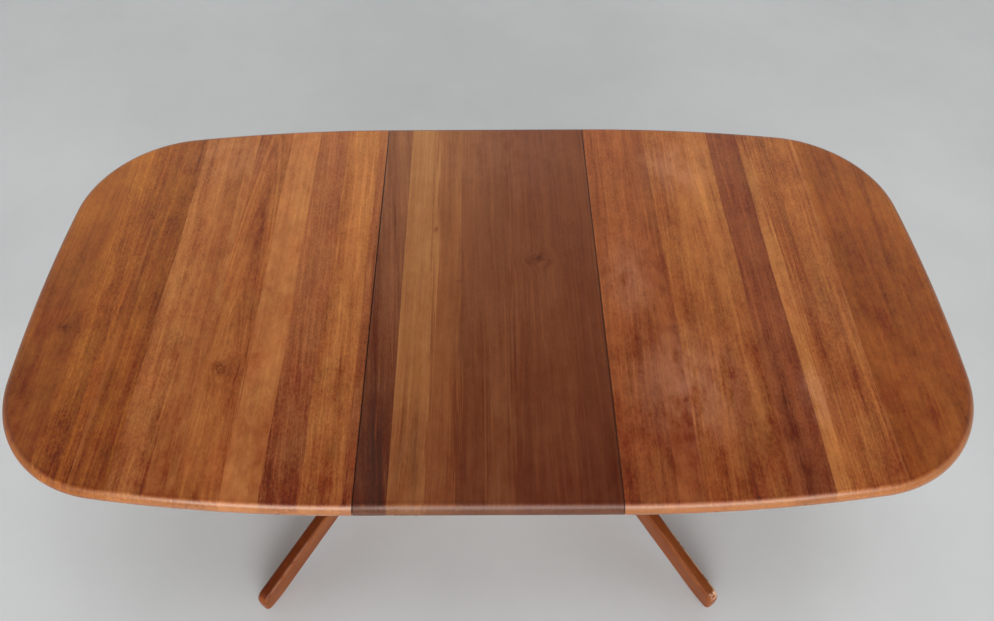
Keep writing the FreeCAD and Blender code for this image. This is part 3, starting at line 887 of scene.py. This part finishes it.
def base_wood(name, tone, turn, lively=1.0, flecks=0.0, foot_shade_glint=None, roughness=0.40):
    """Solid wood whose grain direction comes to lie along Y after the given turn."""
    material, tree, shader, place = new_material(name)
    mapping = add_node(tree, "Mapping")
    mapping.inputs["Rotation"].default_value = turn
    feed(tree, mapping.inputs["Vector"], place)
    figure = place_group(tree, wood_figure, Vector=mapping.outputs[0], Heart=0.21, Seed=0.4)
    shade = total(tree, (figure["Grain"], 1.1), (figure["Rings"], 0.5), (figure["Mottle"], 0.7))
    shade = calc(tree, "MULTIPLY", shade, lively)
    spots = ease(tree, figure["Speckle"], 0.10, 0.20)
    depth = total(tree, (figure["Pores"], 0.25), (figure["Veins"], 0.20 * lively), (spots, flecks))
    chips_and_glint = 0.0
    if foot_shade_glint is not None:
        shaded_top, chips_and_glint = paint_top_shade_and_glint(tree, place, *foot_shade_glint)
        depth = calc(tree, "ADD", depth, shaded_top)
    oiled = place_group(
        tree, oiled_tone, Tone=tone, Shade=shade, Warmth=figure["Warmth"], Depth=depth,
    )
    colour = oiled["Color"]
    if foot_shade_glint is not None:
        colour = blend_colour(tree, chips_and_glint, colour, PALE_CHIP_GLINT)
    feed(tree, shader.inputs["Base Color"], colour)
    shader.inputs["Specular IOR Level"].default_value = BASE_GLOSS
    gloss = total(tree, (figure["Pores"], 0.10), (figure["Mottle"], 0.15), (chips_and_glint, 0.20))
    feed(tree, shader.inputs["Roughness"], calc(tree, "ADD", gloss, roughness))
    roughen(tree, shader, figure["Height"], FIBRE_HEIGHT)
    return material


def dress(material, *nodes):
    for node in nodes:
        mesh = frame["nodes"][node].data
        mesh.materials.clear()
        mesh.materials.append(material)
    print(material.name, "on", len(nodes), "nodes")


# %% Which way the grain runs
def plan_angle(node):
    """The angle from X of a node's longest direction in plan, from the spread of its points."""
    points = [vert.co for vert in frame["nodes"][node].data.vertices]
    middle = sum(points, Vector()) / len(points)
    along_x = sum((point.x - middle.x) ** 2 for point in points)
    along_y = sum((point.y - middle.y) ** 2 for point in points)
    mixed = sum((point.x - middle.x) * (point.y - middle.y) for point in points)
    return 0.5 * math.atan2(2 * mixed, along_x - along_y)


UPRIGHT = (math.pi / 2, 0.0, 0.0)
ALONG_X = (0.0, 0.0, math.pi / 2)
ALONG_Y = (0.0, 0.0, 0.0)
TEAK = srgb(129, 68, 31)
BEECH = srgb(196, 158, 116)
PLANED = {"lively": 0.40, "flecks": 0.22, "roughness": 0.52}
FOOT_ROUGHNESS = 0.32
# Each foot: how strong the painted shade on its upper faces is, and how strong its pale chipped and
# glinting edge line is.
FEET = [
    ("front_left_foot", "back_right_foot", (1.0, 0.1)),
    ("front_right_foot", "back_left_foot", (0.5, 0.8)),
]

dress(base_wood("teak_upright", TEAK, UPRIGHT), "left_column", "right_column")
dress(base_wood("teak_level", TEAK, ALONG_X), "stretcher")
for foot, twin, wear_and_light in FEET:
    askew = math.pi / 2 - plan_angle(foot)
    turn = (0.0, 0.0, askew)
    teak = base_wood(f"teak_{foot}", TEAK, turn, foot_shade_glint=wear_and_light, roughness=FOOT_ROUGHNESS)
    dress(teak, foot, twin)
    print(foot, "grain at", round(90 - math.degrees(askew), 1), "degrees from X")

beech_long = base_wood("beech_long", BEECH, ALONG_X, **PLANED)
beech_cross = base_wood("beech_cross", BEECH, ALONG_Y, **PLANED)
beech_upright = base_wood("beech_upright", BEECH, UPRIGHT, **PLANED)
dress(beech_long, "front_rail_keys", "back_rail_keys", "stretcher_tenons", "foot_tenons")
dress(beech_upright, "left_stop_pegs", "right_stop_pegs")

# %% [markdown]
# ## Slides, battens and bearers
# These are planed sticks. A plane leaves a corner too sharp to handle, so the maker takes it
# off with a block. Each stick is a copy of its node: the loose triangles are merged, flat
# faces joined up and every outward corner bevelled. The inner corners of a groove stay square,
# because the tongue runs there.

# %% Ease a timber
ARRIS = 0.0009
FLAT_ANGLE = math.radians(1)
CORNER_ANGLE = math.radians(35)
SHORTEST_ARRIS = 0.008


def merged_copy(node):
    bm = bmesh.new()
    bm.from_mesh(frame["nodes"][node].data)
    bmesh.ops.remove_doubles(bm, verts=bm.verts, dist=NEAR)
    return bm


def eased_timber(node, material):
    bm = merged_copy(node)
    bmesh.ops.dissolve_limit(bm, angle_limit=FLAT_ANGLE, verts=bm.verts, edges=bm.edges)
    bmesh.ops.recalc_face_normals(bm, faces=bm.faces)
    corners = []
    for edge in bm.edges:
        outward = edge.is_manifold and edge.is_convex and edge.calc_face_angle() > CORNER_ANGLE
        if outward and edge.calc_length() > SHORTEST_ARRIS:
            corners.append(edge)
    bmesh.ops.bevel(
        bm, geom=corners, offset=ARRIS, offset_type="OFFSET", segments=2,
        profile=0.5, affect="EDGES", material=-1, clamp_overlap=True,
    )
    body = body_of(frame["nodes"][node])[0]
    return finish_piece(f"{node}_timber", bm, body, "beech", material, node)


for name in sorted(frame["nodes"]):
    if name.endswith(("runner", "batten", "_rail")):
        eased_timber(name, beech_long)
    elif name.endswith("bearer"):
        eased_timber(name, beech_cross)

# %% [markdown]
# ## Slotted screws
# The sticks are held by countersunk wood screws with a plain slot, zinc plated. One half
# section is spun into a screw. Two cuts across its face mark out the slot, and the strip
# between them is pushed in. Every screw stopped at its own angle, so each one is turned a
# little further than the last.

# %% Zinc
BRIGHT_ZINC = srgb(203, 199, 186)
DULL_ZINC = srgb(150, 138, 112)
SCRATCH_HEIGHT = 0.00003


def zinc_plate():
    material, tree, shader, place = new_material("screw_zinc")
    clouds = noise(tree, place, (350.0, 350.0, 350.0), 4.0, 0.65)
    scratches = noise(tree, place, (5000.0, 300.0, 5000.0), 2.0)
    tarnish = ease(tree, clouds, 0.42, 0.68)
    feed(tree, shader.inputs["Base Color"], blend_colour(tree, tarnish, BRIGHT_ZINC, DULL_ZINC))
    shader.inputs["Metallic"].default_value = 1.0
    rough = total(tree, (tarnish, 0.25), (scratches, 0.20))
    feed(tree, shader.inputs["Roughness"], calc(tree, "ADD", rough, 0.22))
    roughen(tree, shader, scratches, SCRATCH_HEIGHT)
    return material


zinc = zinc_plate()
print(zinc.name, "with", len(zinc.node_tree.nodes), "nodes")

# %% Screws
HEAD_HEIGHT = 0.0028
HEAD_LIP = 0.0003
SHANK_SHARE = 0.51
POINT_LENGTH = 0.004
SLOT_HALF = 0.00045
SLOT_DEPTH = 0.0011
TURN_STEP = 0.9
SCREW_STEPS = 20


def solid_boxes(node):
    """The lowest and highest corner of each separate solid in a node."""
    bm = merged_copy(node)
    waiting = set(bm.verts)
    boxes = []
    while waiting:
        found = [waiting.pop()]
        for vert in found:
            for edge in vert.link_edges:
                other = edge.other_vert(vert)
                if other in waiting:
                    waiting.remove(other)
                    found.append(other)
        axes = list(zip(*(vert.co for vert in found)))
        boxes.append((Vector(map(min, axes)), Vector(map(max, axes))))
    bm.free()
    return sorted(boxes, key=lambda box: tuple(box[0]))


def screw_mesh(radius, length):
    """A screw along +Z with the face of its head at the origin."""
    shank = radius * SHANK_SHARE
    section = [
        (0.0, 0.0), (radius - HEAD_LIP, 0.0), (radius, HEAD_LIP), (shank, HEAD_HEIGHT),
        (shank, length - POINT_LENGTH), (0.0, length),
    ]
    bm = bmesh.new()
    verts = [bm.verts.new((across, 0.0, along)) for across, along in section]
    edges = [bm.edges.new(pair) for pair in zip(verts, verts[1:])]
    bmesh.ops.spin(
        bm, geom=verts + edges, cent=(0, 0, 0), axis=(0, 0, 1),
        angle=2 * math.pi, steps=SCREW_STEPS, use_merge=True,
    )
    bmesh.ops.remove_doubles(bm, verts=bm.verts, dist=NEAR)
    for side in (-1, 1):
        face = [item for item in bm.faces if all(abs(vert.co.z) < NEAR for vert in item.verts)]
        parts = set(face)
        for item in face:
            parts.update(item.edges)
            parts.update(item.verts)
        bmesh.ops.bisect_plane(
            bm, geom=list(parts), plane_co=(side * SLOT_HALF, 0, 0), plane_no=(1, 0, 0),
        )
    strip = []
    for item in bm.faces:
        middle = item.calc_center_median()
        if abs(middle.z) < NEAR and abs(middle.x) < SLOT_HALF:
            strip.append(item)
    pushed = bmesh.ops.extrude_face_region(bm, geom=strip)
    moved = [item for item in pushed["geom"] if isinstance(item, bmesh.types.BMVert)]
    bmesh.ops.translate(bm, verts=moved, vec=(0, 0, SLOT_DEPTH))
    bmesh.ops.recalc_face_normals(bm, faces=bm.faces)
    mesh = bpy.data.meshes.new("screw")
    bm.to_mesh(mesh)
    bm.free()
    return mesh


def slotted_screws(node, head_up):
    bm = bmesh.new()
    boxes = solid_boxes(node)
    for index, (low, high) in enumerate(boxes):
        one = screw_mesh((high.x - low.x) / 2, high.z - low.z)
        flip = Matrix.Rotation(math.pi if head_up else 0.0, 4, "X")
        turn = Matrix.Rotation(index * TURN_STEP, 4, "Z")
        middle = (low + high) / 2
        middle.z = high.z if head_up else low.z
        one.transform(Matrix.Translation(middle) @ turn @ flip)
        bm.from_mesh(one)
        bpy.data.meshes.remove(one)
    body = body_of(frame["nodes"][node])[0]
    print(len(boxes), "screws for", node)
    return finish_piece(f"{node}_slotted", bm, body, "screw_steel", zinc, node)


for name in sorted(frame["nodes"]):
    if name.endswith("screws"):
        slotted_screws(name, head_up=name == "rail_screws")

# %% [markdown]
# ## Glides
# A glide is a turned plastic button under each toe. Its brown plastic is dulled and scratched
# by the floor.

# %% Glide plastic
NEW_PLASTIC = srgb(58, 46, 38)
SCUFFED_PLASTIC = srgb(104, 90, 78)
SCUFF_HEIGHT = 0.00005

glide, glide_tree, glide_shader, glide_place = new_material("glide_plastic")
scuffs = noise(glide_tree, glide_place, (260.0, 260.0, 260.0), 4.0, 0.7)
worn = ease(glide_tree, scuffs, 0.45, 0.70)
glide_tint = blend_colour(glide_tree, worn, NEW_PLASTIC, SCUFFED_PLASTIC)
feed(glide_tree, glide_shader.inputs["Base Color"], glide_tint)
feed(glide_tree, glide_shader.inputs["Roughness"], calc(glide_tree, "MULTIPLY_ADD", worn, 0.25, 0.42))
roughen(glide_tree, glide_shader, scuffs, SCUFF_HEIGHT)
dress(glide, "floor_glides")

# %% [markdown]
# ## Floor and light
# The floor is a plain pale sheet. A large soft window stands in front, behind the camera, and a
# skylight hangs overhead. A high card that shows only in reflections draws the bright line
# along the rounded near edge. The pale walls of the room end where a dim ceiling begins, so the
# far side of the top mirrors a pale haze and the near side keeps its own colour.


# %% Floor
FLOOR_RADIUS = 14.0
FLOOR_DARK = srgb(186, 188, 189)
FLOOR_PALE = srgb(208, 210, 211)
FLOOR_ROUGHNESS = 0.9


def make_floor():
    bm = bmesh.new()
    bmesh.ops.create_circle(bm, cap_ends=True, segments=96, radius=FLOOR_RADIUS)
    mesh = bpy.data.meshes.new("floor")
    bm.to_mesh(mesh)
    bm.free()
    floor = bpy.data.objects.new("floor", mesh)
    bpy.context.scene.collection.objects.link(floor)
    material, tree, shader, place = new_material("floor_pale")
    cloud = noise(tree, place, (1.4, 1.4, 1.4), 6.0, 0.6)
    tint = blend_colour(tree, cloud, FLOOR_DARK, FLOOR_PALE)
    feed(tree, shader.inputs["Base Color"], tint)
    shader.inputs["Roughness"].default_value = FLOOR_ROUGHNESS
    shader.inputs["Specular IOR Level"].default_value = 0.0
    mesh.materials.append(material)
    print("floor", FLOOR_RADIUS, "m in radius")


make_floor()


# %% Lights
def area_light(name, place, target, size_x, size_y, radiance):
    """A soft panel given by its brightness, so that its size can change without its look."""
    data = bpy.data.lights.new(name, "AREA")
    data.shape = "RECTANGLE"
    data.size = size_x
    data.size_y = size_y
    data.energy = radiance * math.pi * size_x * size_y
    lamp = bpy.data.objects.new(name, data)
    lamp.location = place
    lamp.rotation_euler = (Vector(target) - Vector(place)).to_track_quat("-Z", "Y").to_euler()
    lamp.visible_camera = False
    bpy.context.scene.collection.objects.link(lamp)
    print(name, round(data.energy), "W")
    return lamp


TABLE_MIDDLE = (0.0, 0.0, 0.6)
WINDOW_SPREAD = math.radians(100)

window = area_light(
    "window_front", (0.4, -5.5, 2.1), TABLE_MIDDLE, size_x=5.0, size_y=3.0, radiance=2.8,
)
window.data.spread = WINDOW_SPREAD
window.visible_glossy = False
skylight = area_light(
    "skylight", (0.0, 0.0, 9.0), TABLE_MIDDLE, size_x=6.0, size_y=5.0, radiance=3.2,
)
skylight.visible_glossy = False
sheen_card = area_light(
    "sheen_card", (0.2, -4.3, 5.0), TABLE_MIDDLE, size_x=8.0, size_y=4.4, radiance=3.7,
)
sheen_card.visible_diffuse = False

# %% Room
WALLS_END = (0.80, 0.54)
WALLS_RISE = (0.0, 0.55)
ROOM_TINT = (1.0, 0.99, 0.98, 1.0)


def make_room_glow(ceiling, wall_foot, wall_head):
    """A room with pale walls, palest at their head, under a dim ceiling."""
    world = bpy.data.worlds.new("studio")
    bpy.context.scene.world = world
    world.use_nodes = True
    tree = world.node_tree
    z = split_axes(tree, add_node(tree, "TexCoord").outputs["Generated"])[2]
    rising = ease(tree, z, *WALLS_RISE, wall_foot, wall_head)
    walls = calc(tree, "MULTIPLY", ease(tree, z, *WALLS_END), rising)
    background = tree.nodes["Background"]
    background.inputs["Color"].default_value = ROOM_TINT
    feed(tree, background.inputs["Strength"], calc(tree, "ADD", walls, ceiling))


make_room_glow(ceiling=0.07, wall_foot=0.36, wall_head=0.92)

# %% [markdown]
# ## The camera
# The table is seen from in front and from above. The place, the turn and the lens come from
# fitting the outline, the seams and the toes to the photo, and a small shift of the lens puts
# the middle of the view where the photo has it.

# %% Camera
IMAGE_WIDTH = 994
FOCAL_PIXELS = 850
CENTRE_PIXEL = 482
CAMERA_PLACE = (-0.0060, -1.1970, 2.1395)
PITCH = math.radians(51.506)
YAW = math.radians(-0.206)
ROLL = math.radians(-0.416)

camera_data = bpy.data.cameras.new("camera")
camera_data.sensor_fit = "HORIZONTAL"
camera_data.sensor_width = 36.0
camera_data.lens = FOCAL_PIXELS / IMAGE_WIDTH * camera_data.sensor_width
camera_data.shift_x = (IMAGE_WIDTH / 2 - CENTRE_PIXEL) / IMAGE_WIDTH
camera_data.clip_start = 0.05
camera = bpy.data.objects.new("camera", camera_data)
yawed = Matrix.Rotation(-YAW, 4, "Z")
pitched = Matrix.Rotation(math.pi / 2 - PITCH, 4, "X")
rolled = Matrix.Rotation(ROLL, 4, "Z")
camera.matrix_world = Matrix.Translation(CAMERA_PLACE) @ yawed @ pitched @ rolled
bpy.context.scene.collection.objects.link(camera)
bpy.context.scene.camera = camera
bpy.context.scene.view_settings.view_transform = "Standard"
print("lens", round(camera_data.lens, 2), "mm")
